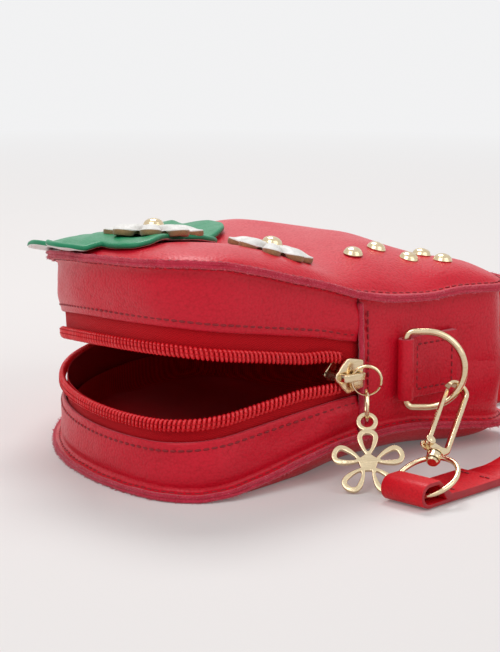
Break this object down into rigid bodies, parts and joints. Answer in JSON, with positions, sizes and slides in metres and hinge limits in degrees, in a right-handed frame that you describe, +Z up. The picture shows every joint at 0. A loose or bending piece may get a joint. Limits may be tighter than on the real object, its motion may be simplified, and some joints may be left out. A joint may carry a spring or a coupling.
{
  "type": "strawberry crossbody bag",
  "caption": "Small strawberry-shaped crossbody bag lying on its back, its zip undone and its front lifted, with a hooked shoulder strap, a leaf, daisies and studs.",
  "frame": {"origin": "on the flat outer face of the back panel, on the bag's middle line, just inside its top edge", "axes": "+X from the strawberry's top towards its tip, +Y to the far side, +Z up from the surface that the bag lies on"},
  "size_m": [0.1941, 0.2672, 0.0779],
  "materials": {
    "red_leather": "grained, semi-gloss",
    "red_zip_tape": "woven tape",
    "red_nylon_coil": "moulded nylon coil",
    "dark_red_lining": "plain woven lining",
    "pale_gold": "polished pale gold plating",
    "green_leaf": "glossy coated sheet",
    "white_petal": "coated white sheet",
    "red_strap": "grained, semi-gloss"
  },
  "bodies": {
    "bag": {"back_panel": "red_leather", "back_zip_strip": "red_leather", "tip_gusset": "red_leather", "front_panel_tip": "red_leather", "front_zip_strip_far": "red_leather", "back_lining": "dark_red_lining", "back_tape": "red_zip_tape", "back_coil": "red_nylon_coil", "front_tape_far": "red_zip_tape", "front_coil_far": "red_nylon_coil", "closed_chain": "red_nylon_coil", "bottom_stop": "pale_gold", "d_ring_tab_near": "red_leather", "d_ring_tab_far": "red_leather", "seed_stud_1": "pale_gold", "seed_stud_2": "pale_gold", "seed_stud_3": "pale_gold", "seed_stud_4": "pale_gold", "seed_stud_5": "pale_gold", "strap": "red_strap"},
    "lid": {"front_panel": "red_leather", "front_zip_strip": "red_leather", "front_lining": "dark_red_lining", "front_tape": "red_zip_tape", "front_coil": "red_nylon_coil", "calyx_leaf": "green_leaf", "leaf_daisy": "white_petal", "leaf_daisy_stud": "pale_gold", "panel_daisy": "white_petal", "panel_daisy_stud": "pale_gold"},
    "slider": {"slider": "pale_gold"},
    "pull_ring": {"pull_ring": "pale_gold"},
    "jump_ring": {"jump_ring": "pale_gold"},
    "charm": {"charm": "pale_gold"},
    "d_ring_near": {"d_ring_near": "pale_gold"},
    "hook_near": {"hook_body_near": "pale_gold"},
    "gate_near": {"hook_gate_near": "pale_gold"},
    "eye_near": {"swivel_eye_near": "pale_gold", "strap_end_near": "red_strap"},
    "d_ring_far": {"d_ring_far": "pale_gold"},
    "hook_far": {"hook_body_far": "pale_gold"},
    "gate_far": {"hook_gate_far": "pale_gold"},
    "eye_far": {"swivel_eye_far": "pale_gold", "strap_end_far": "red_strap"}
  },
  "joints": [
    {"name": "lid_hinge", "type": "hinge", "parent": "bag", "child": "lid", "pos_m": [0.09014, -0.04189, 0.03146], "axis": [-0.7613, 0.6451, -0.0653], "range_deg": [-16.5, 0], "deforming": ["front_coil", "front_tape", "front_lining"]},
    {"name": "slider_slide", "type": "slide", "parent": "bag", "child": "slider", "axis": [-0.7803, -0.6169, -0.1033], "range_m": [0, 0.024], "deforming": ["back_coil", "back_tape", "front_coil", "front_tape", "closed_chain"]},
    {"name": "pull_ring_swing", "type": "hinge", "parent": "slider", "child": "pull_ring", "pos_m": [0.08769, -0.04879, 0.03125], "axis": [0, 0, 1], "range_deg": [-20, 20]},
    {"name": "jump_ring_swing", "type": "hinge", "parent": "pull_ring", "child": "jump_ring", "pos_m": [0.09203, -0.04879, 0.02555], "axis": [1, 0, 0], "range_deg": [-3, 20]},
    {"name": "charm_swing", "type": "hinge", "parent": "jump_ring", "child": "charm", "pos_m": [0.09203, -0.05197, 0.01842], "axis": [1, 0, 0], "range_deg": [-3, 15]},
    {"name": "d_ring_near_swing", "type": "hinge", "parent": "bag", "child": "d_ring_near", "pos_m": [0.10487, -0.03483, 0.03034], "axis": [0, 0, 1], "range_deg": [-3, 20], "deforming": ["strap_end_near", "strap"]},
    {"name": "hook_near_swing", "type": "hinge", "parent": "d_ring_near", "child": "hook_near", "pos_m": [0.12077, -0.03529, 0.02328], "axis": [-0.5188, 0.4695, -0.7145], "range_deg": [0, 20], "deforming": ["strap_end_near", "strap"]},
    {"name": "gate_near_press", "type": "hinge", "parent": "hook_near", "child": "gate_near", "pos_m": [0.10994, -0.06143, 0.01398], "axis": [-0.5188, 0.4695, -0.7145], "range_deg": [0, 9], "stiffness_Nm_per_rad": 0.02, "springref_deg": -20.05},
    {"name": "eye_near_swivel", "type": "hinge", "parent": "hook_near", "child": "eye_near", "pos_m": [0.11167, -0.06443, 0.01075], "axis": [0.2759, 0.8829, 0.3798], "continuous": true, "deforming": ["strap_end_near", "strap"]},
    {"name": "d_ring_far_swing", "type": "hinge", "parent": "bag", "child": "d_ring_far", "pos_m": [0.10487, 0.03483, 0.03034], "axis": [0, 0, -1], "range_deg": [-3, 20], "deforming": ["strap_end_far", "strap"]},
    {"name": "hook_far_swing", "type": "hinge", "parent": "d_ring_far", "child": "hook_far", "pos_m": [0.12077, 0.03529, 0.02328], "axis": [0.5188, 0.4695, 0.7145], "range_deg": [0, 20], "deforming": ["strap_end_far", "strap"]},
    {"name": "gate_far_press", "type": "hinge", "parent": "hook_far", "child": "gate_far", "pos_m": [0.10994, 0.06143, 0.01398], "axis": [0.5188, 0.4695, 0.7145], "range_deg": [0, 9], "stiffness_Nm_per_rad": 0.02, "springref_deg": -20.05},
    {"name": "eye_far_swivel", "type": "hinge", "parent": "hook_far", "child": "eye_far", "pos_m": [0.11167, 0.06443, 0.01075], "axis": [-0.2759, 0.8829, -0.3798], "continuous": true, "deforming": ["strap_end_far", "strap"]}
  ]
}
